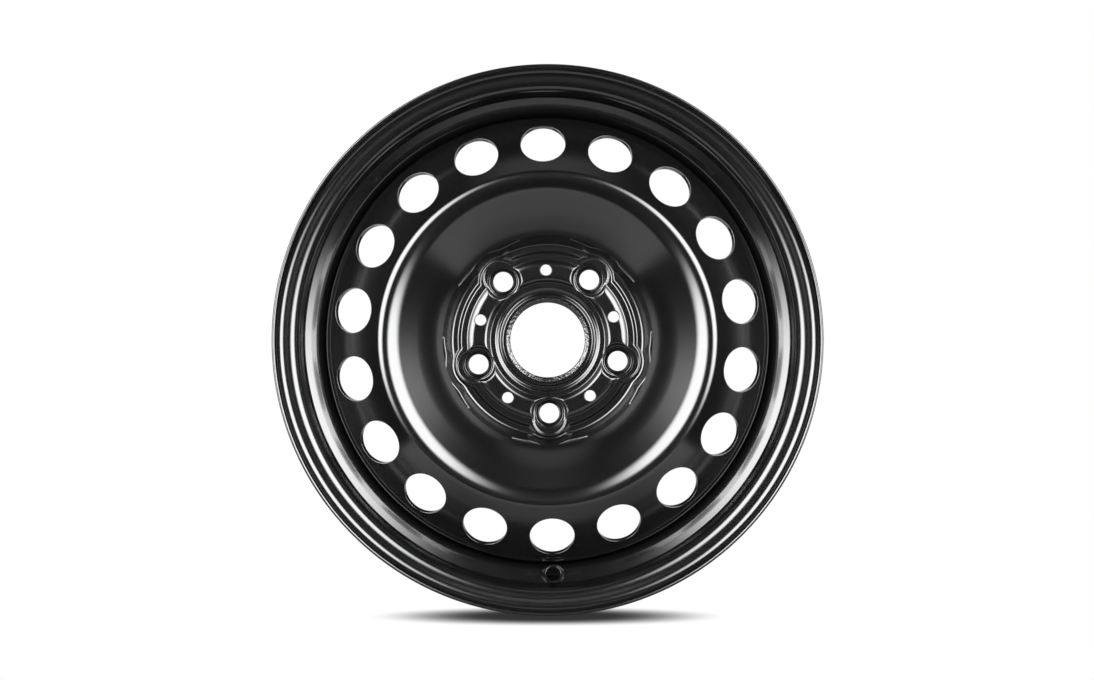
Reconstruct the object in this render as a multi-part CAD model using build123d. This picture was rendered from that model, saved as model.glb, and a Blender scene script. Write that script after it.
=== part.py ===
from build123d import *
from math import cos, radians, sin, sqrt, tan
import os

# Pressed steel car wheel: a rolled rim, a pressed disc and the weld beads that join them.
# Millimetres. The wheel stands upright and turns about Y, its outer side faces -Y,
# and the origin is on the axle line, midway between the two rim flanges.
# Sections are drawn in the XY plane, with X as the radius, and revolved about Y.

wheel_turn = -1.35              # degrees the wheel has rolled from bolt hole straight down

# Rim, tyre side unless said otherwise; runs are measured from the flange
rim_width = 152.4               # between the inner faces of the flanges
bead_seat_diameter = 380.2
flange_height = 17.3            # above the bead seat
rim_sheet = 2.6
flange_curl_radius = 9.5
flange_curl_past_top = 18.0     # degrees the lip turns in past its highest point
flange_lip_run = 0.4
flange_root_radius = 6.5
lip_edge_round = 1.1
bead_seat_taper = 5.0           # degrees
bead_seat_run = 17.0
hump_run = 21.2
hump_drop = 0.7                 # top of the hump below the bead seat at the flange
hump_round = 7.0
ledge_run = 25.6                # foot of the hump
ledge_drop = 2.5
ledge_round = 5.0
ramp_upper_angle = 30.0         # of the well's outer wall from the wheel's plane, degrees
ramp_lower_angle = 32.0
ramp_upper_length = 6.6
ramp_round = 36.0
well_depth = 17.3
well_round = 12.0
well_floor_end = 2.0            # inward from the middle of the rim
inner_wall_end = 36.0
inner_wall_drop = 2.9
inner_wall_round = 16.0

# Valve hole, in a flat seat pressed into the lower part of the ramp
valve_hole_diameter = 11.3
valve_circle_diameter = 357.2
valve_tilt = 24.0               # of the hole's axis from the wheel axis, degrees
valve_seat_diameter = 15.2

# Disc, levels are heights of the front above the rings that seat on the hub
hub_offset = 43.0               # mounting face, outward from the middle of the rim
disc_sheet = 4.0
collar_level = 1.8
land_level = 1.2
island_level = 4.2
terrace_level = 2.0
bore_diameter = 57.1
bore_bevel_width = 2.9
bore_bevel_height = 1.4
collar_end = 34.2
inner_ring_start = 36.2
inner_ring_end = 37.8
land_start = 40.0
island_foot = 43.8
island_start = 47.0
island_end = 58.2
island_outer_foot = 61.4
island_inner_round = 4.6
island_outer_round = 8.0
terrace_end = 66.0
outer_ring_start = 68.4
hub_round = 1.2
bowl_start = 72.8
bowl_foot_round = 3.0
lower_bowl_angle = 46.0         # angles of the disc are from the wheel's plane, degrees
lower_bowl_end = 88.0
upper_bowl_angle = 34.0
bowl_round = 130.0
crown_flank_start = 114.3
crown_flank_angle = 21.0
crown_flank_round = 30.0
crown_start = 120.9
crown_end = 126.4
crown_inner_round = 13.0
crown_outer_round = 8.7
vent_slope_angle = 36.5
shoulder_round = 14.0
skirt_end = 9.0                 # inner edge of the skirt, outward from the middle of the rim

# Bolt seats and other holes of the disc
bolt_circle_diameter = 112.0
bolt_count = 5
bolt_hole_diameter = 15.2
bolt_seat_diameter = 20.2
bolt_seat_sphere = 13.0         # radius of the ball seat
pocket_radius = 12.0            # flat land round each bolt hole
pocket_wall_run = 1.9
pocket_round = 3.2
pocket_flare = 7.0              # degrees the lip of the pocket still rises
pocket_shift = 4.3              # second pass of the pocket, towards the bowl
lobe_radius = 17.4              # top of the terrace round each bolt
lobe_wall_run = 1.4
scallop_radius = 19.6           # foot of the bowl round each bolt
drain_hole_diameter = 8.4
drain_circle_diameter = 107.0
vent_count = 18
vent_diameter = 33.9
vent_circle_diameter = 298.0
vent_tilt = 23.0                # of the punched holes' axes from the wheel axis, degrees

# Welds
weld_count = 8
weld_sweep = 26.0               # degrees
weld_leg = 3.8
weld_bulge = 0.6

# Reach of a cut past the face it has to clear
clear = 2.0
reach = 12.0

half_width = rim_width / 2
bead_radius = bead_seat_diameter / 2
well_radius = bead_radius - well_depth
skirt_radius = well_radius - rim_sheet
hub_front = -(hub_offset + disc_sheet)
bolt_radius = bolt_circle_diameter / 2


def front(level):
    return hub_front - level


def shifted_corners(corners, distance):
    # The same outline with every straight run moved to its left by the distance.
    runs = []
    for start, end in zip(corners, corners[1:]):
        along = (Vector(*end) - Vector(*start)).normalized()
        side = Vector(-along.Y, along.X) * distance
        runs.append((Vector(*start) + side, Vector(*end) + side, along))
    moved = [runs[0][0]]
    for (_, joint, first), (start, _, second) in zip(runs, runs[1:]):
        turn = first.X * second.Y - first.Y * second.X
        gap = start - joint
        step = (gap.X * second.Y - gap.Y * second.X) / turn
        moved.append(joint + first * step)
    moved.append(runs[-1][1])
    return [(point.X, point.Y) for point in moved]


def shifted_rounds(corners, rounds, distance):
    # A round shrinks on the inside of its bend and grows on the outside.
    result = []
    for before, corner, after, radius in zip(corners, corners[1:], corners[2:], rounds):
        first = Vector(*corner) - Vector(*before)
        second = Vector(*after) - Vector(*corner)
        left_turn = first.X * second.Y - first.Y * second.X > 0
        result.append(max(radius - distance, hub_round) if left_turn else radius + distance)
    return result


def turned(line):
    # The solid inside an open outline, revolved about the wheel axis.
    ends = Polyline(line @ 1, (0, (line @ 1).Y), (0, (line @ 0).Y), line @ 0)
    return revolve(make_face(line.edges() + ends.edges()), Axis.Y)


def lower_ramp():
    # Tyre side of the ramp's lower part: the bend where it begins and its foot in the well.
    bend_radius = bead_radius - ledge_drop - ramp_upper_length * cos(radians(ramp_upper_angle))
    bend_side = half_width - ledge_run - ramp_upper_length * sin(radians(ramp_upper_angle))
    foot_side = bend_side - (bend_radius - well_radius) * tan(radians(ramp_lower_angle))
    return (bend_radius, -bend_side), (well_radius, -foot_side)


def rim_corners():
    # Tyre side of the rim from the outer lip to the inner lip.
    curl_turn = 90 + flange_curl_past_top
    curl_reach = flange_curl_radius * tan(radians(curl_turn / 2))
    curl_radius = bead_radius + flange_height - flange_curl_radius + curl_reach
    lip_reach = curl_reach + flange_lip_run
    lip_radius = curl_radius - lip_reach * sin(radians(flange_curl_past_top))
    lip_side = half_width + lip_reach * cos(radians(flange_curl_past_top))
    flange = [
        (lip_radius, lip_side),
        (curl_radius, half_width),
        (bead_radius, half_width),
        (bead_radius - bead_seat_run * tan(radians(bead_seat_taper)), half_width - bead_seat_run),
        (bead_radius - hump_drop, half_width - hump_run),
        (bead_radius - ledge_drop, half_width - ledge_run),
    ]
    flange_rounds = [flange_curl_radius, flange_root_radius, hump_round, hump_round]
    bend, foot = lower_ramp()
    middle = [
        bend,
        foot,
        (well_radius, well_floor_end),
        (bead_radius - inner_wall_drop, inner_wall_end),
    ]
    middle_rounds = [ledge_round, ramp_round, well_round, inner_wall_round, inner_wall_round, ledge_round]
    outer_side = [(radius, -side) for radius, side in flange]
    corners = outer_side + middle + flange[::-1]
    return corners, flange_rounds + middle_rounds + flange_rounds[::-1]


def valve_plug(diameter, start, end):
    # A cylinder on the valve hole's axis, between two depths measured from the seat outward.
    (bend_radius, bend_side), (foot_radius, foot_side) = shifted_corners(lower_ramp(), rim_sheet)
    radius = valve_circle_diameter / 2
    slope = (foot_side - bend_side) / (bend_radius - foot_radius)
    side = bend_side + (bend_radius - radius) * slope
    plug = Pos(0, 0, (start + end) / 2) * Cylinder(diameter / 2, end - start)
    return Rot(0, 180, 0) * Pos(0, side, radius) * Rot(90 + valve_tilt, 0, 0) * plug


def rim():
    corners, rounds = rim_corners()
    inner = shifted_corners(corners, rim_sheet)
    inner_rounds = shifted_rounds(corners, rounds, rim_sheet)
    outline = corners + inner[::-1]
    edge = [lip_edge_round]
    outline_rounds = edge + rounds + edge + edge + inner_rounds[::-1] + edge
    hoop = revolve(make_face(FilletPolyline(*outline, radius=outline_rounds, close=True).edges()), Axis.Y)
    inside = turned(FilletPolyline(*inner, radius=inner_rounds))
    filled = turned(FilletPolyline(*corners, radius=rounds))
    wall = valve_plug(valve_seat_diameter + 2 * rim_sheet, -rim_sheet, reach) - inside
    boss = valve_plug(valve_seat_diameter, -reach, 0) & filled
    hoop = hoop + wall + boss
    hoop -= valve_plug(valve_seat_diameter, 0, reach + clear)
    return hoop - valve_plug(valve_hole_diameter, -reach - clear, clear)


def disc_corners():
    # Front of the disc from inside the bore, over the hub, bowl and crown, to the skirt's inner edge.
    bowl_knee = front(0) - (lower_bowl_end - bowl_start) * tan(radians(lower_bowl_angle))
    flank = bowl_knee - (crown_flank_start - lower_bowl_end) * tan(radians(upper_bowl_angle))
    crown = flank - (crown_start - crown_flank_start) * tan(radians(crown_flank_angle))
    shoulder = crown + (skirt_radius - crown_end) * tan(radians(vent_slope_angle))
    corners = [
        (bore_diameter / 4, front(collar_level)),
        (collar_end, front(collar_level)),
        (inner_ring_start, front(0)),
        (inner_ring_end, front(0)),
        (land_start, front(land_level)),
        (island_foot, front(land_level)),
        (island_start, front(island_level)),
        (island_end, front(island_level)),
        (island_outer_foot, front(terrace_level)),
        (terrace_end, front(terrace_level)),
        (outer_ring_start, front(0)),
        (bowl_start, front(0)),
        (lower_bowl_end, bowl_knee),
        (crown_flank_start, flank),
        (crown_start, crown),
        (crown_end, crown),
        (skirt_radius, shoulder),
        (skirt_radius, -skirt_end),
    ]
    island_rounds = [island_inner_round, island_outer_round]
    hub_rounds = [hub_round] * 5 + island_rounds + [hub_round] * 3
    crown_rounds = [crown_flank_round, crown_inner_round, crown_outer_round, shoulder_round]
    return corners, hub_rounds + [bowl_foot_round, bowl_round] + crown_rounds


def at_bolts(tool, shift=0):
    return [Rot(0, 180 + 360 * n / bolt_count, 0) * Pos(0, 0, bolt_radius + shift) * tool
            for n in range(bolt_count)]


def hub_plug(radius):
    # A solid that covers the hub inside a radius, for trimming the shapes round the bolts.
    return Rot(90, 0, 0) * Cylinder(radius, 4 * hub_offset)


def pressed_face(depth):
    # The solid behind one face of the disc's sheet: depth 0 is the front, the sheet's thickness the back.
    corners, rounds = disc_corners()
    if depth:
        corners[-1] = (skirt_radius, clear - skirt_end)
        rounds = shifted_rounds(corners, rounds, depth)
        corners = shifted_corners(corners, depth)
    solid = turned(FilletPolyline(*corners, radius=rounds))

    bowl_tilt = tan(radians(lower_bowl_angle))
    grow = depth * tan(radians(lower_bowl_angle / 2))
    scallop = turned(Polyline(
        (scallop_radius + grow, front(0) + depth),
        (scallop_radius + grow + reach / bowl_tilt, front(reach) + depth),
    ))
    solid -= [piece - hub_plug((outer_ring_start + bowl_start) / 2) for piece in at_bolts(scallop)]
    slant = lobe_wall_run / terrace_level
    lobe = turned(Polyline(
        (lobe_radius - grow, front(terrace_level) + depth),
        (lobe_radius - grow + (terrace_level + clear) * slant, front(-clear) + depth),
    ))
    solid += [piece - hub_plug((island_outer_foot + terrace_end) / 2) for piece in at_bolts(lobe)]

    flare = reach * tan(radians(pocket_flare))
    pocket = turned(FilletPolyline(
        (bolt_hole_diameter / 4, front(land_level) + depth),
        (pocket_radius + grow, front(land_level) + depth),
        (pocket_radius + grow + pocket_wall_run, front(island_level) + depth),
        (pocket_radius + grow + pocket_wall_run + reach, front(island_level + flare) + depth),
        radius=[hub_round, pocket_round],
    ))
    return solid - at_bolts(pocket) - at_bolts(pocket, pocket_shift)


def disc():
    plate = pressed_face(0) - pressed_face(disc_sheet)

    bore_radius = bore_diameter / 2
    bore = turned(Polyline(
        (bore_radius, 0),
        (bore_radius, front(collar_level) + bore_bevel_height),
        (bore_radius + bore_bevel_width, front(collar_level)),
        (bore_radius + bore_bevel_width, front(collar_level) - clear),
    ))
    seat_radius = bolt_seat_diameter / 2
    seat_centre = front(land_level) - sqrt(bolt_seat_sphere ** 2 - seat_radius ** 2)
    seat = Pos(0, seat_centre, 0) * Sphere(bolt_seat_sphere)
    bolt_hole = Pos(0, front(0), 0) * Rot(90, 0, 0) * Cylinder(bolt_hole_diameter / 2, 2 * reach)
    drain_hole = Rot(90, 0, 0) * Cylinder(drain_hole_diameter / 2, 2 * reach)
    drain = Pos(0, front(0), drain_circle_diameter / 2) * drain_hole
    drains = [Rot(0, 360 * n / bolt_count, 0) * drain for n in range(bolt_count)]

    corners, _ = disc_corners()
    crown_side = dict(corners)[crown_end]
    vent_radius = vent_circle_diameter / 2
    vent_side = crown_side + (vent_radius - crown_end) * tan(radians(vent_slope_angle))
    vent_hole = Rot(90 - vent_tilt, 0, 0) * Cylinder(vent_diameter / 2, 2 * reach)
    vent = Pos(0, vent_side, vent_radius) * vent_hole
    vents = [Rot(0, 360 * n / vent_count, 0) * vent for n in range(vent_count)]
    return plate - bore - at_bolts(seat) - at_bolts(bolt_hole) - drains - vents


def weld_beads():
    # One fillet bead in the corner of the skirt's inner edge and the well, repeated round the wheel.
    on_skirt = Vector(skirt_radius - weld_leg, -skirt_end)
    on_well = Vector(skirt_radius, weld_leg - skirt_end)
    corner = Vector(skirt_radius, -skirt_end)
    middle = (on_skirt + on_well) / 2
    bulge = middle + (middle - corner).normalized() * weld_bulge
    face_line = ThreePointArc(on_skirt, bulge, on_well)
    root_line = Polyline(on_well, corner, on_skirt)
    section = make_face(face_line.edges() + root_line.edges())
    bead = revolve(section, Axis.Y, weld_sweep)
    return Compound([Rot(0, 360 * n / weld_count, 0) * bead for n in range(weld_count)])


os.makedirs("parts", exist_ok=True)
export_step(Rot(0, wheel_turn, 0) * rim(), "parts/rim.step")
export_step(Rot(0, wheel_turn, 0) * disc(), "parts/disc.step")
export_step(Rot(0, wheel_turn, 0) * weld_beads(), "parts/weld_beads.step")
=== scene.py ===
import math
import bpy
import numpy as np
from mathutils import Matrix, Vector


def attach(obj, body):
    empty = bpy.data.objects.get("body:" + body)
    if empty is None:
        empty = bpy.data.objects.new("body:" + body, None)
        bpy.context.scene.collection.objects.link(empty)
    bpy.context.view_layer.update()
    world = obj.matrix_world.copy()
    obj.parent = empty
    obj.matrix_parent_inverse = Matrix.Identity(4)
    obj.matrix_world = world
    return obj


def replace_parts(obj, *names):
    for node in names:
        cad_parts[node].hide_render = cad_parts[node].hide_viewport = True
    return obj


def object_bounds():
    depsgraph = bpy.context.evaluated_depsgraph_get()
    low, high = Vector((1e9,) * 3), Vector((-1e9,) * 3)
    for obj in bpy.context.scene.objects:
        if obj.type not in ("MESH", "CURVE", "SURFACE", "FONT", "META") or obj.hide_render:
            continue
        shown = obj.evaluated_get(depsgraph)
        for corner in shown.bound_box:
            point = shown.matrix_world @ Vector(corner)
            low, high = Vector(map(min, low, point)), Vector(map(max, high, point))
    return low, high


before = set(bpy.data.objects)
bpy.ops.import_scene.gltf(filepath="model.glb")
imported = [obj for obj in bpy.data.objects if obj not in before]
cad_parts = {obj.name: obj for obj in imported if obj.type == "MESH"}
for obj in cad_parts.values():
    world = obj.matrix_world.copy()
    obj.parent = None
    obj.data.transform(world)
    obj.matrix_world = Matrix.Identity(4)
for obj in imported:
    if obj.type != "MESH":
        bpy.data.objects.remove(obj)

mm = 0.001
fullTurn = 2 * math.pi
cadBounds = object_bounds()
print("frame:", ", ".join(sorted(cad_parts)))

wheel = {"turn": -1.35, "bolts": 5, "vents": 18}  # degrees rolled from bolt hole straight down


# outlines: x is the radius, y the place along the wheel axis, both in millimetres

def tilt(angle):
    return math.tan(math.radians(angle))


def turnedBy(degrees):
    return math.radians(degrees + wheel["turn"])


def quarterTurn(steps):
    return [math.pi / 2 * k / steps for k in range(steps + 1)]


def cornerArc(before, corner, after, radius, arcStep):  # places and directions along one rounded corner
    into, out = corner - before, after - corner
    into /= np.linalg.norm(into)
    out /= np.linalg.norm(out)
    turn = math.atan2(into[0] * out[1] - into[1] * out[0], into @ out)
    start = corner - into * radius * math.tan(abs(turn) / 2)
    side = np.array([-into[1], into[0]]) * math.copysign(1, turn)
    centre = start + side * radius
    steps = max(2, math.ceil(abs(math.degrees(turn)) / arcStep))
    places, ways = [], []
    for k in range(steps + 1):
        angle = turn * k / steps
        cosine, sine = math.cos(angle), math.sin(angle)
        spin = np.array([[cosine, -sine], [sine, cosine]])
        places.append(centre + spin @ (start - centre))
        ways.append(spin @ into)
    return places, ways


def roundedPath(corners, rounds, arcStep, runStep, closed=False):
    corners = [np.array(c, float) for c in corners]
    count = len(corners)
    arcs = []
    for i, corner in enumerate(corners):
        if not closed and i in (0, count - 1):
            arcs.append(([corner], [None]))  # an open end has no arc, and its direction comes below
            continue
        radius = rounds[i if closed else i - 1]
        arcs.append(cornerArc(corners[i - 1], corner, corners[(i + 1) % count], radius, arcStep))
    points, tangents = [], []
    for i, (places, ways) in enumerate(arcs):
        last = not closed and i == count - 1
        nextPlace = None if last else arcs[(i + 1) % count][0][0]
        if ways[0] is None:
            other = nextPlace - places[0] if i == 0 else places[0] - points[-1]
            ways = [other / np.linalg.norm(other)]
        points += places
        tangents += ways
        if last:
            break
        base = points[-1]
        run = nextPlace - base
        length = np.linalg.norm(run)
        pieces = max(1, math.ceil(length / runStep))
        for k in range(1, pieces):
            points.append(base + run * k / pieces)
            tangents.append(run / length)
    return np.array(points), np.array(tangents)


def refined(points, tangents, low, high, step):  # more points inside a box of the outline
    morePoints, moreTangents = [], []
    for i, a in enumerate(points):
        after = (i + 1) % len(points)
        b = points[after]
        morePoints.append(a)
        moreTangents.append(tangents[i])
        if np.all((a > low) & (a < high) & (b > low) & (b < high)):
            pieces = math.ceil(np.linalg.norm(b - a) / step)
            for k in range(1, pieces):
                morePoints.append(a + (b - a) * k / pieces)
                way = tangents[i] * (1 - k / pieces) + tangents[after] * k / pieces
                moreTangents.append(way / np.linalg.norm(way))
    return np.array(morePoints), np.array(moreTangents)


def shiftedCorners(corners, distance):  # every straight run moved to its left
    runs = []
    for a, b in zip(corners, corners[1:]):
        a, b = np.array(a, float), np.array(b, float)
        along = (b - a) / np.linalg.norm(b - a)
        side = np.array([-along[1], along[0]]) * distance
        runs.append((a + side, b + side, along))
    moved = [runs[0][0]]
    for (_, joint, first), (start, _, second) in zip(runs, runs[1:]):
        turn = first[0] * second[1] - first[1] * second[0]
        gap = start - joint
        moved.append(joint + first * (gap[0] * second[1] - gap[1] * second[0]) / turn)
    return moved + [runs[-1][1]]


def shiftedRounds(corners, rounds, distance, least=1.2):
    result = []
    for before, corner, after, radius in zip(corners, corners[1:], corners[2:], rounds):
        first = np.subtract(corner, before)
        second = np.subtract(after, corner)
        left = first[0] * second[1] - first[1] * second[0] > 0
        result.append(max(radius - distance, least) if left else radius + distance)
    return result


def smoothStep(low, high, value):
    t = np.clip((value - low) / (high - low), 0, 1)
    return t * t * (3 - 2 * t)


def softMin(a, b, blend):
    share = np.clip(0.5 + 0.5 * (b - a) / blend, 0, 1)
    return b * (1 - share) + a * share - blend * share * (1 - share)


def softMax(a, b, blend):
    return -softMin(-a, -b, blend)


# meshes: vertices and normals are gathered in numpy and made into one object at the end

class Patch:
    def __init__(self):
        self.places, self.normals, self.faces = [], [], []
        self.count = 0

    def add(self, places, normals, faces):
        self.places.append(places)
        self.normals.append(normals)
        self.faces += [tuple(i + self.count for i in face) for face in faces]
        self.count += len(places)

    def build(self, name, material):
        places = np.concatenate(self.places) * mm
        normals = np.concatenate(self.normals)
        normals /= np.linalg.norm(normals, axis=1)[:, None]
        faces = []
        for face in self.faces:
            a, b, c = places[list(face[:3])]
            facing = np.cross(b - a, c - a) @ normals[list(face[:3])].sum(axis=0)
            faces.append(face if facing >= 0 else face[::-1])
        mesh = bpy.data.meshes.new(name)
        mesh.from_pydata(places.tolist(), [], faces)
        mesh.polygons.foreach_set("use_smooth", [True] * len(mesh.polygons))
        mesh.normals_split_custom_set_from_vertices(normals.tolist())
        mesh.materials.append(material)
        piece = bpy.data.objects.new(name, mesh)
        bpy.context.scene.collection.objects.link(piece)
        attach(piece, "root")
        print("piece", name, len(mesh.polygons), "faces")
        return piece


def spun(points, tangents, angles):  # a path turned about the wheel axis; the solid lies left of the path
    sines, cosines = np.sin(angles), np.cos(angles)
    level = np.zeros_like(angles)
    radius, side = points[:, 0][:, None], points[:, 1][:, None]
    outward, sideways = tangents[:, 1][:, None], -tangents[:, 0][:, None]
    places = np.stack([radius * sines, side + level, radius * cosines], axis=-1)
    normals = np.stack([outward * sines, sideways + level, outward * cosines], axis=-1)
    return places.reshape(-1, 3), normals.reshape(-1, 3)


def gridFaces(rows, columns, closedRows=False):
    faces = []
    for i in range(rows if closedRows else rows - 1):
        a, b = i * columns, ((i + 1) % rows) * columns
        for j in range(columns):
            k = (j + 1) % columns
            faces.append((a + j, a + k, b + k, b + j))
    return faces


clear, onEdge, inHole = 0, 1, 2  # where a vertex lies


def holedFaces(faces, state):
    kept = []
    for face in faces:
        marks = [state[i] for i in face]
        if inHole not in marks:
            if clear in marks:
                kept.append(face)
        elif marks.count(inHole) == 1:
            far = (marks.index(inHole) + 2) % 4
            if marks[far] == clear:  # half of a face that the hole's edge crosses
                kept.append((face[far - 1], face[far], face[(far + 1) % 4]))
    return kept


def circleOf(across, along, count):  # unit directions round a hole, and their angles
    turn = np.linspace(0, fullTurn, count, endpoint=False)
    return np.cos(turn)[:, None] * across + np.sin(turn)[:, None] * along, turn


# rim

rim = {
    "width": 152.4, "seatDiameter": 380.2, "flangeHeight": 17.3, "sheet": 2.6,
    "curlRadius": 9.5, "curlPastTop": 18.0, "lipRun": 0.4, "rootRadius": 6.5, "lipRound": 1.1,
    "seatTaper": 5.0, "seatRun": 17.0, "humpRun": 21.2, "humpDrop": 0.7, "humpRound": 7.0,
    "ledgeRun": 25.6, "ledgeDrop": 2.5, "ledgeRound": 5.0,
    "rampUpper": 30.0, "rampLower": 32.0, "rampUpperLength": 6.6, "rampRound": 36.0,
    "wellDepth": 17.3, "wellRound": 12.0, "floorEnd": 2.0,
    "innerWallEnd": 36.0, "innerWallDrop": 2.9, "innerWallRound": 16.0,
}
rimMesh = {
    "arcStep": 7.0, "runStep": 3.2,
    "valveLow": (169, -54), "valveHigh": (187, -36), "valveRun": 0.8,  # closer rows round the valve
    "nearReach": 4.0, "nearStep": 0.22, "farStart": 4.9, "farEnd": 355.2, "farStep": 1.65,  # degrees
}
valve = {
    "hole": 11.3, "circle": 357.2, "tilt": 24.0, "seat": 15.2, "blend": 1.2, "edge": 0.4,
    "zone": 16.0, "zoneDepth": 14.0, "smoothZone": 13.0, "facing": 0.05, "snap": 0.55,
    "around": 72, "edgeSteps": 3,
}


def lowerRamp():  # the bend where the ramp's lower part begins, and its foot in the well
    half, bead = rim["width"] / 2, rim["seatDiameter"] / 2
    well = bead - rim["wellDepth"]
    upper = math.radians(rim["rampUpper"])
    bend = bead - rim["ledgeDrop"] - rim["rampUpperLength"] * math.cos(upper)
    bendSide = half - rim["ledgeRun"] - rim["rampUpperLength"] * math.sin(upper)
    footSide = bendSide - (bend - well) * tilt(rim["rampLower"])
    return (bend, -bendSide), (well, -footSide)


def rimCorners():
    half, bead = rim["width"] / 2, rim["seatDiameter"] / 2
    past = math.radians(rim["curlPastTop"])
    curlReach = rim["curlRadius"] * tilt((90 + rim["curlPastTop"]) / 2)
    curl = bead + rim["flangeHeight"] - rim["curlRadius"] + curlReach
    lip = curlReach + rim["lipRun"]
    flange = [
        (curl - lip * math.sin(past), half + lip * math.cos(past)),
        (curl, half),
        (bead, half),
        (bead - rim["seatRun"] * tilt(rim["seatTaper"]), half - rim["seatRun"]),
        (bead - rim["humpDrop"], half - rim["humpRun"]),
        (bead - rim["ledgeDrop"], half - rim["ledgeRun"]),
    ]
    flangeRounds = [rim["curlRadius"], rim["rootRadius"], rim["humpRound"], rim["humpRound"]]
    bend, foot = lowerRamp()
    middle = [bend, foot, (foot[0], rim["floorEnd"]), (bead - rim["innerWallDrop"], rim["innerWallEnd"])]
    middleRounds = [rim["ledgeRound"], rim["rampRound"], rim["wellRound"],
                    rim["innerWallRound"], rim["innerWallRound"], rim["ledgeRound"]]
    corners = [(radius, -side) for radius, side in flange] + middle + flange[::-1]
    return corners, flangeRounds + middleRounds + flangeRounds[::-1]


def rimAngles():
    near = np.arange(-rimMesh["nearReach"], rimMesh["nearReach"], rimMesh["nearStep"])
    far = np.arange(rimMesh["farStart"], rimMesh["farEnd"], rimMesh["farStep"])
    return turnedBy(180) + np.radians(np.concatenate([near, far]))


def valveAxes():  # centre of the hole's front, its axis and two directions across it
    (bend, bendSide), (foot, footSide) = shiftedCorners(lowerRamp(), rim["sheet"])
    radius = valve["circle"] / 2
    side = bendSide + (footSide - bendSide) * (bend - radius) / (bend - foot)
    clock, lean = turnedBy(180), math.radians(valve["tilt"])
    sine, cosine = math.sin(clock), math.cos(clock)
    centre = np.array([radius * sine, side, radius * cosine])
    axis = np.array([-math.sin(lean) * sine, -math.cos(lean), -math.sin(lean) * cosine])
    across = np.array([cosine, 0, -sine])
    return centre, axis, across, np.cross(axis, across)


def meshNormals(places, faces, normals, mask):  # normals worked out from the faces where the mask is set
    sums = np.zeros_like(places)
    for face in faces:
        if not any(mask[i] for i in face):
            continue
        a, b, c = places[face[0]], places[face[1]], places[face[2]]
        facing = np.cross(b - a, c - a)
        if facing @ normals[face[0]] < 0:
            facing = -facing
        for i in face:
            sums[i] += facing
    lengths = np.linalg.norm(sums, axis=1)
    good = mask & (lengths > 1e-9)
    result = normals.copy()
    result[good] = sums[good] / lengths[good][:, None]
    return result


def addValve(patch, places, normals, faces):  # the hoop's sheet with its flat valve seat and the hole in it
    centre, axis, across, along = valveAxes()
    axes = np.array([across, along, axis])
    local = (places - centre) @ axes.T
    around = np.hypot(local[:, 0], local[:, 1])
    close = (np.abs(local[:, 2]) < valve["zoneDepth"]) & (around < valve["zone"])
    shown = close & (normals @ axis > valve["facing"])
    hidden = close & (normals @ axis < -valve["facing"])
    seat, blend, sheet = valve["seat"] / 2, valve["blend"], rim["sheet"]
    flat = 1 - smoothStep(seat, seat + blend, around)
    local[:, 2] = np.where(shown, local[:, 2] * (1 - flat), local[:, 2])
    backing = 1 - smoothStep(seat + sheet - blend, seat + sheet, around)
    pressed = np.minimum(local[:, 2], -sheet)
    local[:, 2] = np.where(hidden, local[:, 2] * (1 - backing) + pressed * backing, local[:, 2])
    state = np.full(len(places), clear)
    hole, edge = valve["hole"] / 2, valve["edge"]
    for side, reach in ((shown, hole + edge), (hidden, hole)):
        state[side & (around < reach)] = inHole
        ring = side & (np.abs(around - reach) < valve["snap"])
        state[ring] = onEdge
        local[ring, :2] *= (reach / around[ring])[:, None]
    backEdge = local[ring]
    places = centre + local @ axes
    kept = holedFaces(faces, state)
    patch.add(places, meshNormals(places, kept, normals, close & (around < valve["smoothZone"])), kept)
    addValveWall(patch, backEdge)


def addValveWall(patch, backEdge):
    centre, axis, across, along = valveAxes()
    hole, edge = valve["hole"] / 2, valve["edge"]
    ring, turn = circleOf(across, along, valve["around"])
    backTurn = np.arctan2(backEdge[:, 1], backEdge[:, 0])
    order = np.argsort(backTurn)
    depth = np.interp(turn, backTurn[order], backEdge[order, 2], period=fullTurn)
    rows, rowNormals = [], []
    for angle in quarterTurn(valve["edgeSteps"]):
        rounded = ring * (hole + edge * (1 - math.sin(angle)))
        rows.append(centre + rounded - axis * edge * (1 - math.cos(angle)))
        rowNormals.append(axis * math.cos(angle) - ring * math.sin(angle))
    rows.append(centre + ring * hole + axis * depth[:, None])
    rowNormals.append(-ring)
    patch.add(np.concatenate(rows), np.concatenate(rowNormals), gridFaces(len(rows), len(turn)))


def makeRim(material):
    corners, rounds = rimCorners()
    inner = shiftedCorners(corners, rim["sheet"])
    innerRounds = shiftedRounds(corners, rounds, rim["sheet"])
    lip = [rim["lipRound"]]
    points, tangents = roundedPath(corners + inner[::-1],
                                   lip + rounds + lip + lip + innerRounds[::-1] + lip,
                                   rimMesh["arcStep"], rimMesh["runStep"], closed=True)
    points, tangents = refined(points, tangents, rimMesh["valveLow"], rimMesh["valveHigh"],
                               rimMesh["valveRun"])
    angles = rimAngles()
    places, normals = spun(points, tangents, angles)
    patch = Patch()
    addValve(patch, places, normals, gridFaces(len(points), len(angles), closedRows=True))
    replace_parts(patch.build("rim_hoop", material), "rim")


# disc

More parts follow.
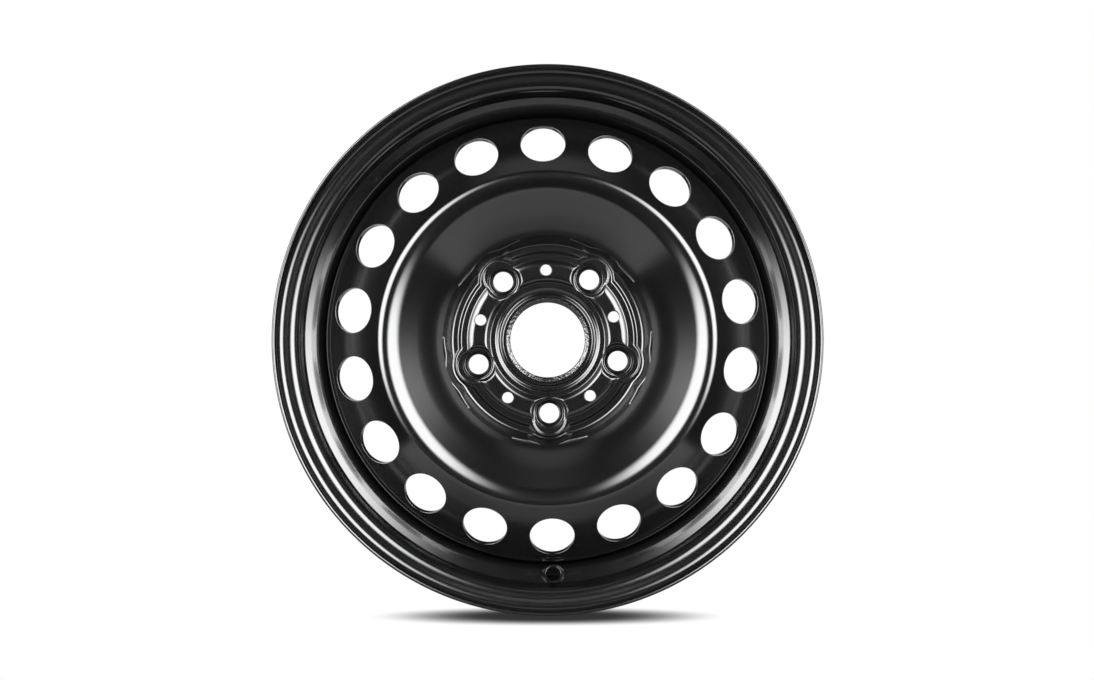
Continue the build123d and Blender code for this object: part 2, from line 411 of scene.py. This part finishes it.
disc = {
    "hubOffset": 43.0, "sheet": 4.0, "skirtEnd": 9.0, "skirt": 170.2,
    "collar": 1.8, "land": 1.2, "island": 4.2, "terrace": 2.0,
    "bore": 57.1, "bevelWidth": 2.9, "bevelHeight": 1.4, "collarEnd": 34.2,
    "innerRingStart": 36.2, "innerRingEnd": 37.8, "landStart": 40.0, "islandFoot": 43.8,
    "islandStart": 47.0, "islandEnd": 58.2, "islandOuterFoot": 61.4,
    "islandInnerRound": 4.6, "islandOuterRound": 8.0, "terraceEnd": 66.0, "outerRingStart": 68.4,
    "hubRound": 1.2, "bowlStart": 72.8, "footRound": 3.0,
    "lowerAngle": 46.0, "lowerEnd": 88.0, "upperAngle": 34.0, "bowlRound": 130.0,
    "flankStart": 114.3, "flankAngle": 21.0, "flankRound": 30.0,
    "crownStart": 120.9, "crownEnd": 126.4, "crownInnerRound": 13.0, "crownOuterRound": 8.7,
    "slopeAngle": 36.5, "shoulderRound": 14.0,
}
discMesh = {"around": 504, "hubEdge": 80.0, "hubRings": 120, "backRings": 56, "arcStep": 2.5, "runStep": 1.5}


def discCorners():
    base = -(disc["hubOffset"] + disc["sheet"])
    collar, land = base - disc["collar"], base - disc["land"]
    island, terrace = base - disc["island"], base - disc["terrace"]
    knee = base - (disc["lowerEnd"] - disc["bowlStart"]) * tilt(disc["lowerAngle"])
    flank = knee - (disc["flankStart"] - disc["lowerEnd"]) * tilt(disc["upperAngle"])
    crown = flank - (disc["crownStart"] - disc["flankStart"]) * tilt(disc["flankAngle"])
    shoulder = crown + (disc["skirt"] - disc["crownEnd"]) * tilt(disc["slopeAngle"])
    corners = [
        (disc["bore"] / 4, collar), (disc["collarEnd"], collar),
        (disc["innerRingStart"], base), (disc["innerRingEnd"], base),
        (disc["landStart"], land), (disc["islandFoot"], land),
        (disc["islandStart"], island), (disc["islandEnd"], island),
        (disc["islandOuterFoot"], terrace), (disc["terraceEnd"], terrace),
        (disc["outerRingStart"], base), (disc["bowlStart"], base), (disc["lowerEnd"], knee),
        (disc["flankStart"], flank), (disc["crownStart"], crown), (disc["crownEnd"], crown),
        (disc["skirt"], shoulder), (disc["skirt"], -disc["skirtEnd"]),
    ]
    rounds = [disc["hubRound"]] * 5 + [disc["islandInnerRound"], disc["islandOuterRound"]]
    rounds += [disc["hubRound"]] * 3 + [disc["footRound"], disc["bowlRound"], disc["flankRound"]]
    rounds += [disc["crownInnerRound"], disc["crownOuterRound"], disc["shoulderRound"]]
    return corners, rounds


def discLine(depth):  # depth 0 is the front, the sheet's thickness is the back
    corners, rounds = discCorners()
    if depth:
        rounds = shiftedRounds(corners, rounds, depth)
        corners = shiftedCorners(corners, depth)
    return corners, rounds


def discAngles():
    return np.linspace(0, fullTurn, discMesh["around"], endpoint=False)


# hub: raised islands and, round each bolt, a ball seat in a pocket, a lobe and a scallop in the bowl

seat = {
    "circle": 112.0, "hole": 15.2, "seat": 20.2, "sphere": 13.0, "edge": 0.5, "edgeDrop": 0.12,
    "pocket": 12.0, "pocketWall": 1.9, "pocketRound": 3.2, "pocketFlare": 7.0, "flareRun": 60.0,
    "pocketShift": 4.3, "pocketZone": 34.0, "blend": 0.5,
    "lobe": 17.4, "lobeWall": 1.4, "lobeRound": 0.9, "lobeSink": 3.0, "lobeZone": 24.0, "lobeBlend": 0.25,
    "scallop": 19.6, "scallopRun": 40.0, "scallopBlend": 1.6, "leastBlend": 0.01, "scallopEase": 5.0,
    "edgeSteps": 3, "ballRows": 7, "around": 72,
}
drain = {"hole": 8.4, "circle": 107.0, "edge": 0.5, "edgeSteps": 4, "around": 48}
hubMesh = {"lineEnd": 110.0, "arcStep": 1.0, "lineRun": 0.5, "curveRun": 0.3,
           "slopeStep": 0.04, "snapCircle": 66.0}


def holePlaces(circle, start):
    turns = [turnedBy(start + 360 * n / wheel["bolts"]) for n in range(wheel["bolts"])]
    return [(circle / 2 * math.sin(turn), circle / 2 * math.cos(turn)) for turn in turns]


def hubCurve(outline, rounds):  # height over the distance from a bolt's axis
    path, _ = roundedPath(outline, rounds, hubMesh["arcStep"], hubMesh["curveRun"])
    return lambda distance: np.interp(distance, path[:, 0], path[:, 1])


def scallopCurve(base, grow):
    foot, run = seat["scallop"] + grow, seat["scallopRun"]
    return hubCurve([(0, base), (foot, base), (foot + run, base + run * tilt(disc["lowerAngle"]))],
                    [disc["footRound"]])


def lobeCurve(base, grow):
    edge, top, sink = seat["lobe"] - grow, disc["terrace"], seat["lobeSink"]
    wall = seat["lobeWall"] * (top + sink) / top
    return hubCurve([(0, base + top), (edge, base + top), (edge + wall, base - sink)], [seat["lobeRound"]])


def pocketCurve(base, grow):
    foot, run = seat["pocket"] + grow, seat["flareRun"]
    brim, low, high = foot + seat["pocketWall"], base + disc["land"], base + disc["island"]
    outline = [(0, low), (foot, low), (brim, high), (brim + run, high + run * tilt(seat["pocketFlare"]))]
    return hubCurve(outline, [disc["hubRound"], seat["pocketRound"]])


def hubSurface(depth):  # height towards the front over any place on the hub
    points, _ = roundedPath(*discLine(depth), hubMesh["arcStep"], hubMesh["lineRun"])
    line = points[points[:, 0] < hubMesh["lineEnd"]]
    base = disc["hubOffset"] + disc["sheet"] - depth
    grow = depth * tilt(disc["lowerAngle"] / 2)
    scallop, lobe, pocket = scallopCurve(base, grow), lobeCurve(base, grow), pocketCurve(base, grow)
    bolts = holePlaces(seat["circle"], 180)
    outward = 1 + seat["pocketShift"] / (seat["circle"] / 2)
    scallopFrom = (disc["outerRingStart"] + disc["bowlStart"]) / 2
    lobeFrom = (disc["islandOuterFoot"] + disc["terraceEnd"]) / 2

    def height(x, z):
        radius = np.hypot(x, z)
        top = -np.interp(radius, line[:, 0], line[:, 1])
        ease = smoothStep(scallopFrom, scallopFrom + seat["scallopEase"], radius)
        scallopBlend = seat["leastBlend"] + seat["scallopBlend"] * ease
        for boltX, boltZ in bolts:
            near = np.hypot(x - boltX, z - boltZ)
            outer = np.hypot(x - boltX * outward, z - boltZ * outward)
            top = np.where(radius > scallopFrom, softMin(top, scallop(near), scallopBlend), top)
            onLobe = (radius > lobeFrom) & (near < seat["lobeZone"])
            top = np.where(onLobe, softMax(top, lobe(near), seat["lobeBlend"]), top)
            sunk = softMin(pocket(near), pocket(outer), seat["blend"])
            top = np.where(near < seat["pocketZone"], softMin(top, sunk, seat["blend"]), top)
        return top

    return height


def hubSheet(patch, height, radii, facing, holes):  # a round sheet over the hub with its holes cut out
    angles = discAngles()
    x = (radii[:, None] * np.sin(angles)).ravel()
    z = (radii[:, None] * np.cos(angles)).ravel()
    state = np.full(len(x), clear)
    snap = 0.5 * max(np.max(np.diff(radii)), hubMesh["snapCircle"] * fullTurn / discMesh["around"])
    for holeX, holeZ, radius in holes:
        distance = np.hypot(x - holeX, z - holeZ)
        state[distance < radius] = inHole
        ring = np.abs(distance - radius) < snap
        state[ring] = onEdge
        x[ring] = holeX + (x[ring] - holeX) * radius / distance[ring]
        z[ring] = holeZ + (z[ring] - holeZ) * radius / distance[ring]
    step = hubMesh["slopeStep"]
    slopeX = (height(x + step, z) - height(x - step, z)) / (2 * step)
    slopeZ = (height(x, z + step) - height(x, z - step)) / (2 * step)
    places = np.stack([x, -height(x, z), z], axis=-1)
    normals = np.stack([-slopeX, -np.ones_like(x), -slopeZ], axis=-1) * facing
    patch.add(places, normals, holedFaces(gridFaces(len(radii), discMesh["around"]), state))


def addTube(patch, x, z, rows, count):  # rows: radius, height, and the normal's inward and forward parts
    turn = np.linspace(0, fullTurn, count, endpoint=False)
    sines, cosines, level = np.sin(turn), np.cos(turn), np.zeros(count)
    places, normals = [], []
    for radius, height, inward, forward in rows:
        places.append(np.stack([x + radius * sines, level - height, z + radius * cosines], axis=-1))
        normals.append(np.stack([-inward * sines, level - forward, -inward * cosines], axis=-1))
    patch.add(np.concatenate(places), np.concatenate(normals), gridFaces(len(rows), count))


def addBoltSeat(patch, x, z, front, back):  # ball seat, hole wall and its rounded edge
    brim, hole, ball, steps = seat["seat"] / 2, seat["hole"] / 2, seat["sphere"], seat["edgeSteps"]
    rise = math.sqrt(ball ** 2 - brim ** 2)
    centre = front + rise
    steep = math.atan2(brim, rise)
    rows = []
    for k in range(steps + 1):  # from flat to the tilt of the ball seat
        share = k / steps
        rows.append((brim + seat["edge"] * (1 - share), front - share ** 2 * seat["edgeDrop"],
                     math.sin(steep * share), math.cos(steep * share)))
    for radius in np.linspace(brim, hole, seat["ballRows"]):
        reach = math.sqrt(ball ** 2 - radius ** 2)
        lowered = seat["edgeDrop"] * (radius - hole) / (brim - hole)
        rows.append((radius, centre - reach - lowered, radius / ball, reach / ball))
    rows += [(hole, centre - reach, 1, 0), (hole, back, 1, 0)]
    addTube(patch, x, z, rows, seat["around"])


def addDrain(patch, x, z, front, back):
    radius, edge = drain["hole"] / 2, drain["edge"]
    rows = []
    for angle in quarterTurn(drain["edgeSteps"]):
        sine, cosine = math.sin(angle), math.cos(angle)
        rows.append((radius + edge * (1 - sine), front - edge * (1 - cosine), sine, cosine))
    addTube(patch, x, z, rows + [(radius, back, 1, 0)], drain["around"])


def makeHub(material):
    base = disc["hubOffset"] + disc["sheet"]
    land, island = base + disc["land"], base + disc["island"]
    bolts, drains = holePlaces(seat["circle"], 180), holePlaces(drain["circle"], 0)
    holes = [(x, z, seat["seat"] / 2 + seat["edge"]) for x, z in bolts]
    holes += [(x, z, drain["hole"] / 2 + drain["edge"]) for x, z in drains]
    patch = Patch()
    collarStart = disc["bore"] / 2 + disc["bevelWidth"] + bore["overlap"]
    radii = np.linspace(collarStart, discMesh["hubEdge"], discMesh["hubRings"])
    hubSheet(patch, hubSurface(0), radii, 1, holes)
    for x, z in bolts:
        addBoltSeat(patch, x, z, land, land - disc["sheet"])
    for x, z in drains:
        addDrain(patch, x, z, island, island - disc["sheet"])
    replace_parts(patch.build("hub_face", material), "disc")


# sheared and bevelled edge of the centre bore

bore = {"wallRound": 1.0, "overlap": 0.3, "bevelRound": 0.3, "arcStep": 6.0, "runStep": 0.4}


def makeBore(material):
    radius, top = disc["bore"] / 2, -(disc["hubOffset"] + disc["sheet"] + disc["collar"])
    bevel = radius + disc["bevelWidth"]
    outline = [(radius, top + disc["sheet"]), (radius, top + disc["bevelHeight"]),
               (bevel, top), (bevel + bore["overlap"], top)]
    points, tangents = roundedPath(outline, [bore["wallRound"], bore["bevelRound"]],
                                   bore["arcStep"], bore["runStep"])
    places, normals = spun(points, tangents, discAngles())
    patch = Patch()
    patch.add(places, normals, gridFaces(len(points), discMesh["around"]))
    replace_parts(patch.build("bore_edge", material), "disc")


# bowl, crown and vents

vent = {"diameter": 33.9, "circle": 298.0, "tilt": 23.0, "edge": 0.4,
        "zoneDepth": 12.0, "snap": 0.98, "around": 96, "edgeSteps": 4, "slides": 4}


def slopeStart(depth):  # a place on the straight line of the vent slope, from the crown outwards
    start, run = disc["crownEnd"], disc["skirt"] - disc["crownEnd"]
    side = dict(discCorners()[0])[start]
    line = [(start, side), (disc["skirt"], side + run * tilt(disc["slopeAngle"]))]
    return shiftedCorners(line, depth)[0]


def ventFrames():  # centre, axis and two directions across it for each vent
    start, startSide = slopeStart(0)
    radius, lean = vent["circle"] / 2, math.radians(vent["tilt"])
    side = startSide + (radius - start) * tilt(disc["slopeAngle"])
    frames = []
    for n in range(wheel["vents"]):
        clock = turnedBy(360 * n / wheel["vents"])
        sine, cosine = math.sin(clock), math.cos(clock)
        centre = np.array([radius * sine, side, radius * cosine])
        axis = np.array([math.sin(lean) * sine, -math.cos(lean), math.sin(lean) * cosine])
        across = np.array([cosine, 0, -sine])
        frames.append((centre, axis, across, np.cross(axis, across)))
    return frames


def ontoSlope(places, axis, depth):  # slides places along a vent's axis onto the vent slope
    start, startSide = slopeStart(depth)
    rise = tilt(disc["slopeAngle"])
    for _ in range(vent["slides"]):
        radius = np.hypot(places[:, 0], places[:, 2])
        miss = places[:, 1] - startSide - (radius - start) * rise
        outward = (places[:, 0] * axis[0] + places[:, 2] * axis[2]) / radius
        places = places - axis * (miss / (axis[1] - outward * rise))[:, None]
    return places


def ventedSheet(patch, depth, facing):  # the disc's face from the hub's edge out to the skirt's end
    points, tangents = roundedPath(*discLine(depth), discMesh["arcStep"], discMesh["runStep"])
    start = discMesh["hubEdge"]
    first = np.argmax(points[:, 0] > start)
    pair = points[first - 1:first + 1]
    points = np.vstack([(start, np.interp(start, pair[:, 0], pair[:, 1])), points[first:]])
    tangents = np.vstack([tangents[first], tangents[first:]])
    places, normals = spun(points, tangents, turnedBy(0) + discAngles())
    state = np.full(len(places), clear)
    reach = vent["diameter"] / 2 + (0 if depth else vent["edge"])
    for centre, axis, across, along in ventFrames():
        local = (places - centre) @ np.array([across, along, axis]).T
        distance = np.hypot(local[:, 0], local[:, 1])
        close = np.abs(local[:, 2]) < vent["zoneDepth"]
        state[close & (distance < reach)] = inHole
        ring = close & (np.abs(distance - reach) < vent["snap"])
        state[ring] = onEdge
        move = (reach / distance[ring] - 1)[:, None]
        moved = places[ring] + move * (local[ring, 0:1] * across + local[ring, 1:2] * along)
        places[ring] = ontoSlope(moved, axis, depth)
    patch.add(places, normals * facing, holedFaces(gridFaces(len(points), discMesh["around"]), state))


def addVentWalls(patch):
    radius, edge = vent["diameter"] / 2, vent["edge"]
    for centre, axis, across, along in ventFrames():
        ring, turn = circleOf(across, along, vent["around"])
        lip = ontoSlope(centre + ring * (radius + edge), axis, 0)
        rows, rowNormals = [], []
        for angle in quarterTurn(vent["edgeSteps"]):
            rows.append(lip - ring * edge * math.sin(angle) - axis * edge * (1 - math.cos(angle)))
            rowNormals.append(axis * math.cos(angle) - ring * math.sin(angle))
        rows.append(ontoSlope(centre + ring * radius, axis, disc["sheet"]))
        rowNormals.append(-ring)
        patch.add(np.concatenate(rows), np.concatenate(rowNormals), gridFaces(len(rows), len(turn)))


def makeBowl(material):
    patch = Patch()
    ventedSheet(patch, 0, 1)
    addVentWalls(patch)
    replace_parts(patch.build("vented_bowl", material), "disc")


def makeDiscBack(material):
    sheet, skirt, end = disc["sheet"], disc["skirt"], -disc["skirtEnd"]
    holes = [(x, z, seat["hole"] / 2) for x, z in holePlaces(seat["circle"], 180)]
    holes += [(x, z, drain["hole"] / 2) for x, z in holePlaces(drain["circle"], 0)]
    patch = Patch()
    radii = np.linspace(disc["bore"] / 2, discMesh["hubEdge"], discMesh["backRings"])
    hubSheet(patch, hubSurface(sheet), radii, -1, holes)
    ventedSheet(patch, sheet, -1)
    skirtEdge = np.array([(skirt, end), (skirt - sheet, end)])
    inward = np.array([(-1.0, 0.0), (-1.0, 0.0)])
    places, normals = spun(skirtEdge, inward, discAngles())
    patch.add(places, normals, gridFaces(len(skirtEdge), discMesh["around"]))
    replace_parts(patch.build("disc_back", material), "disc")


# paint

paint = {"color": (0.0095, 0.0095, 0.0096), "roughness": 0.16, "ior": 1.78,
         "grainScale": 1500.0, "grainHeight": 0.000008}
shearedEdge = {"roughness": 0.2, "grainScale": 480.0, "grainHeight": 0.0006}
grain = {"detail": 2.0, "roughness": 0.6}


def newMaterial(name):
    material = bpy.data.materials.new(name)
    material.use_nodes = True
    return material, material.node_tree.nodes, material.node_tree.links


def paintGrain():  # fine pebbling of sprayed paint
    group = bpy.data.node_groups.new("paint_grain", "ShaderNodeTree")
    group.interface.new_socket("Scale", in_out="INPUT", socket_type="NodeSocketFloat")
    group.interface.new_socket("Height", in_out="INPUT", socket_type="NodeSocketFloat")
    group.interface.new_socket("Normal", in_out="OUTPUT", socket_type="NodeSocketVector")
    nodes, links = group.nodes, group.links
    given, result = nodes.new("NodeGroupInput"), nodes.new("NodeGroupOutput")
    place = nodes.new("ShaderNodeTexCoord")
    noise = nodes.new("ShaderNodeTexNoise")
    noise.inputs["Detail"].default_value = grain["detail"]
    noise.inputs["Roughness"].default_value = grain["roughness"]
    bump = nodes.new("ShaderNodeBump")
    links.new(place.outputs["Object"], noise.inputs["Vector"])
    links.new(given.outputs["Scale"], noise.inputs["Scale"])
    links.new(noise.outputs["Fac"], bump.inputs["Height"])
    links.new(given.outputs["Height"], bump.inputs["Distance"])
    links.new(bump.outputs["Normal"], result.inputs["Normal"])
    return group


def blackPaint(name, looks, grainGroup):
    material, nodes, links = newMaterial(name)
    shader = nodes["Principled BSDF"]
    shader.inputs["Base Color"].default_value = (*paint["color"], 1)
    shader.inputs["Roughness"].default_value = looks["roughness"]
    shader.inputs["IOR"].default_value = paint["ior"]
    pebbles = nodes.new("ShaderNodeGroup")
    pebbles.node_tree = grainGroup
    pebbles.inputs["Scale"].default_value = looks["grainScale"]
    pebbles.inputs["Height"].default_value = looks["grainHeight"]
    links.new(pebbles.outputs["Normal"], shader.inputs["Normal"])
    return material


sharedGrain = paintGrain()
wheelPaint = blackPaint("black_paint", paint, sharedGrain)
borePaint = blackPaint("painted_sheared_edge", shearedEdge, sharedGrain)
makeRim(wheelPaint)
makeHub(wheelPaint)
makeBore(borePaint)
makeBowl(wheelPaint)
makeDiscBack(wheelPaint)
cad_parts["weld_beads"].data.materials.clear()
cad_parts["weld_beads"].data.materials.append(wheelPaint)
print("wheel painted")


# stage: white floor and backdrop, two tall softboxes seen in the paint, soft light from above and in front

def flatSheet(name, corners, material):
    mesh = bpy.data.meshes.new(name)
    mesh.from_pydata(corners, [], [(0, 1, 2, 3)])
    mesh.materials.append(material)
    sheet = bpy.data.objects.new(name, mesh)
    bpy.context.scene.collection.objects.link(sheet)
    return sheet


def facingMiddle(place, upright):  # matrix of a lamp at a place, turned towards the wheel's middle
    away = Vector(place).normalized()
    side = upright.cross(away).normalized()
    turn = Matrix((side, away.cross(side), away)).transposed()
    return Matrix.Translation(place) @ turn.to_4x4()


def rangeNode(nodes, fromMin=0.0, fromMax=1.0, toMin=0.0, toMax=1.0, smooth=False):
    node = nodes.new("ShaderNodeMapRange")
    node.interpolation_type = "SMOOTHSTEP" if smooth else "LINEAR"
    node.inputs["From Min"].default_value = fromMin
    node.inputs["From Max"].default_value = fromMax
    node.inputs["To Min"].default_value = toMin
    node.inputs["To Max"].default_value = toMax
    return node


floorLooks = {"shade": 0.7, "side": 0.28, "front": -0.34, "back": 0.4}
contactShadow = {"half": (0.120, 0.068), "line": -0.086, "core": 0.035,
                 "start": 0.25, "end": 1.15, "power": 2.0}


def shadowLevel(nodes, links):  # soft ellipse under the front flange, from dark in its middle to 1 outside
    place = nodes.new("ShaderNodeTexCoord")
    contact = nodes.new("ShaderNodeMapping")
    wide, deep = contactShadow["half"]
    contact.inputs["Location"].default_value = (0, -contactShadow["line"] / deep, 0)
    contact.inputs["Scale"].default_value = (1 / wide, 1 / deep, 0)
    away = nodes.new("ShaderNodeVectorMath")
    away.operation = "LENGTH"
    rise = rangeNode(nodes, contactShadow["start"], contactShadow["end"], smooth=True)
    curve = nodes.new("ShaderNodeMath")
    curve.operation = "POWER"
    curve.inputs[1].default_value = contactShadow["power"]
    level = rangeNode(nodes, toMin=contactShadow["core"])
    links.new(place.outputs["Object"], contact.inputs["Vector"])
    links.new(contact.outputs["Vector"], away.inputs[0])
    links.new(away.outputs["Value"], rise.inputs["Value"])
    links.new(rise.outputs["Result"], curve.inputs[0])
    links.new(curve.outputs["Value"], level.inputs["Value"])
    return level.outputs["Result"]


def floorMaterial():  # white with the contact shadow to the camera, a plain pale floor to every other ray
    material, nodes, links = newMaterial("white_floor")
    shader = nodes["Principled BSDF"]
    shader.inputs["Roughness"].default_value = 1.0
    shader.inputs["Specular IOR Level"].default_value = 0.0
    shader.inputs["Emission Color"].default_value = (1, 1, 1, 1)
    path = nodes.new("ShaderNodeLightPath")
    shade = rangeNode(nodes, toMin=floorLooks["shade"], toMax=0.0)
    links.new(path.outputs["Is Camera Ray"], shade.inputs["Value"])
    links.new(shade.outputs["Result"], shader.inputs["Base Color"])
    glow = nodes.new("ShaderNodeMath")
    glow.operation = "MULTIPLY"
    links.new(shadowLevel(nodes, links), glow.inputs[0])
    links.new(path.outputs["Is Camera Ray"], glow.inputs[1])
    links.new(glow.outputs["Value"], shader.inputs["Emission Strength"])
    return material


def makeFloor():
    low, side, front, back = cadBounds[0][2], floorLooks["side"], floorLooks["front"], floorLooks["back"]
    corners = [(-side, front, low), (side, front, low), (side, back, low), (-side, back, low)]
    floor = flatSheet("floor", corners, floorMaterial())


softbox = {"distance": 2.4, "offAxis": 38.0, "clock": 70.0, "span": (2.4, 3.2),
           "radiance": 12.5, "core": 0.45}


def softboxMaterial():  # bright in the middle, fading to its edge
    material, nodes, links = newMaterial("softbox")
    nodes.remove(nodes["Principled BSDF"])
    place = nodes.new("ShaderNodeTexCoord")
    middle = nodes.new("ShaderNodeMapping")  # from 0 to 1 across the box to -1 to 1
    middle.inputs["Location"].default_value = (-1, -1, 0)
    middle.inputs["Scale"].default_value = (2, 2, 0)
    reach = nodes.new("ShaderNodeVectorMath")
    reach.operation = "LENGTH"
    fade = rangeNode(nodes, 1.0, softbox["core"], toMax=softbox["radiance"], smooth=True)
    glow = nodes.new("ShaderNodeEmission")
    links.new(place.outputs["Generated"], middle.inputs["Vector"])
    links.new(middle.outputs["Vector"], reach.inputs[0])
    links.new(reach.outputs["Value"], fade.inputs["Value"])
    links.new(fade.outputs["Result"], glow.inputs["Strength"])
    links.new(glow.outputs["Emission"], nodes["Material Output"].inputs["Surface"])
    return material


def makeSoftboxes():
    off = math.radians(softbox["offAxis"])
    width, height = softbox["span"][0] / 2, softbox["span"][1] / 2
    corners = [(-width, -height, 0), (width, -height, 0), (width, height, 0), (-width, height, 0)]
    material = softboxMaterial()
    for side, name in ((1, "right_softbox"), (-1, "left_softbox")):
        clock = math.radians(softbox["clock"]) * side
        away = Vector((math.sin(off) * math.sin(clock), -math.cos(off), math.sin(off) * math.cos(clock)))
        upright = Vector((-math.cos(clock), 0, math.sin(clock))) * side
        box = flatSheet(name, corners, material)
        box.matrix_world = facingMiddle(away * softbox["distance"], upright)
        box.visible_camera = False
        box.visible_diffuse = False
        box.visible_shadow = False


lamps = {
    "top_light": {"place": (0, 0.9, 2.8), "span": (3.0, 2.2), "power": 110.0, "upright": (0, 1, 0)},
    "front_fill": {"place": (0, -3.0, 1.2), "span": (2.0, 2.0), "power": 55.0, "upright": (0, 0, 1)},
}


def makeLamps():
    for name, looks in lamps.items():
        light = bpy.data.lights.new(name, "AREA")
        light.shape = "RECTANGLE"
        light.size, light.size_y = looks["span"]
        light.energy = looks["power"]
        lamp = bpy.data.objects.new(name, light)
        lamp.matrix_world = facingMiddle(looks["place"], Vector(looks["upright"]))
        lamp.visible_glossy = False
        bpy.context.scene.collection.objects.link(lamp)


surround = {"diffuse": 0.2, "dark": 0.02, "overhead": 0.4, "overheadFrom": 0.84, "overheadTo": 0.99,
            "backdropFrom": 0.75, "backdropTo": 0.95}


def makeWorld():
    world = bpy.data.worlds.new("studio")
    world.use_nodes = True
    bpy.context.scene.world = world
    nodes, links = world.node_tree.nodes, world.node_tree.links
    nodes.clear()
    path = nodes.new("ShaderNodeLightPath")
    place = nodes.new("ShaderNodeTexCoord")
    parts = nodes.new("ShaderNodeSeparateXYZ")
    links.new(place.outputs["Generated"], parts.inputs["Vector"])

    def mixed(factor, first, second):
        node = nodes.new("ShaderNodeMix")
        for value, socket in ((factor, "Factor"), (first, "A"), (second, "B")):
            if isinstance(value, float):
                node.inputs[socket].default_value = value
            else:
                links.new(value, node.inputs[socket])
        return node.outputs["Result"]

    above = rangeNode(nodes, surround["overheadFrom"], surround["overheadTo"],
                      surround["dark"], surround["overhead"], smooth=True)
    links.new(parts.outputs["Z"], above.inputs["Value"])
    behind = rangeNode(nodes, surround["backdropFrom"], surround["backdropTo"], smooth=True)
    links.new(parts.outputs["Y"], behind.inputs["Value"])
    seen = mixed(behind.outputs["Result"], above.outputs["Result"], 1.0)  # the paint shows the backdrop too
    level = mixed(path.outputs["Is Glossy Ray"], surround["diffuse"], seen)
    ground = nodes.new("ShaderNodeBackground")
    ground.inputs["Color"].default_value = (1, 1, 1, 1)
    links.new(mixed(path.outputs["Is Camera Ray"], level, 1.0), ground.inputs["Strength"])
    out = nodes.new("ShaderNodeOutputWorld")
    links.new(ground.outputs["Background"], out.inputs["Surface"])


# camera on the wheel axis; pixels are those of a 1094 by 680 picture
view = {"distance": 2.171, "focalPixels": 2775.3, "width": 1094, "centreX": 547.6, "sensor": 36.0}


def makeCamera():
    camera = bpy.data.cameras.new("camera")
    camera.sensor_width = view["sensor"]
    camera.lens = view["focalPixels"] * view["sensor"] / view["width"]
    camera.shift_x = (view["width"] / 2 - view["centreX"]) / view["width"]
    holder = bpy.data.objects.new("camera", camera)
    holder.location = (0, -view["distance"], 0)
    holder.rotation_euler = (math.radians(90), 0, 0)
    bpy.context.scene.collection.objects.link(holder)
    bpy.context.scene.camera = holder


makeFloor()
makeSoftboxes()
makeLamps()
makeWorld()
makeCamera()
bpy.context.scene.view_settings.view_transform = "Standard"
print("stage set")
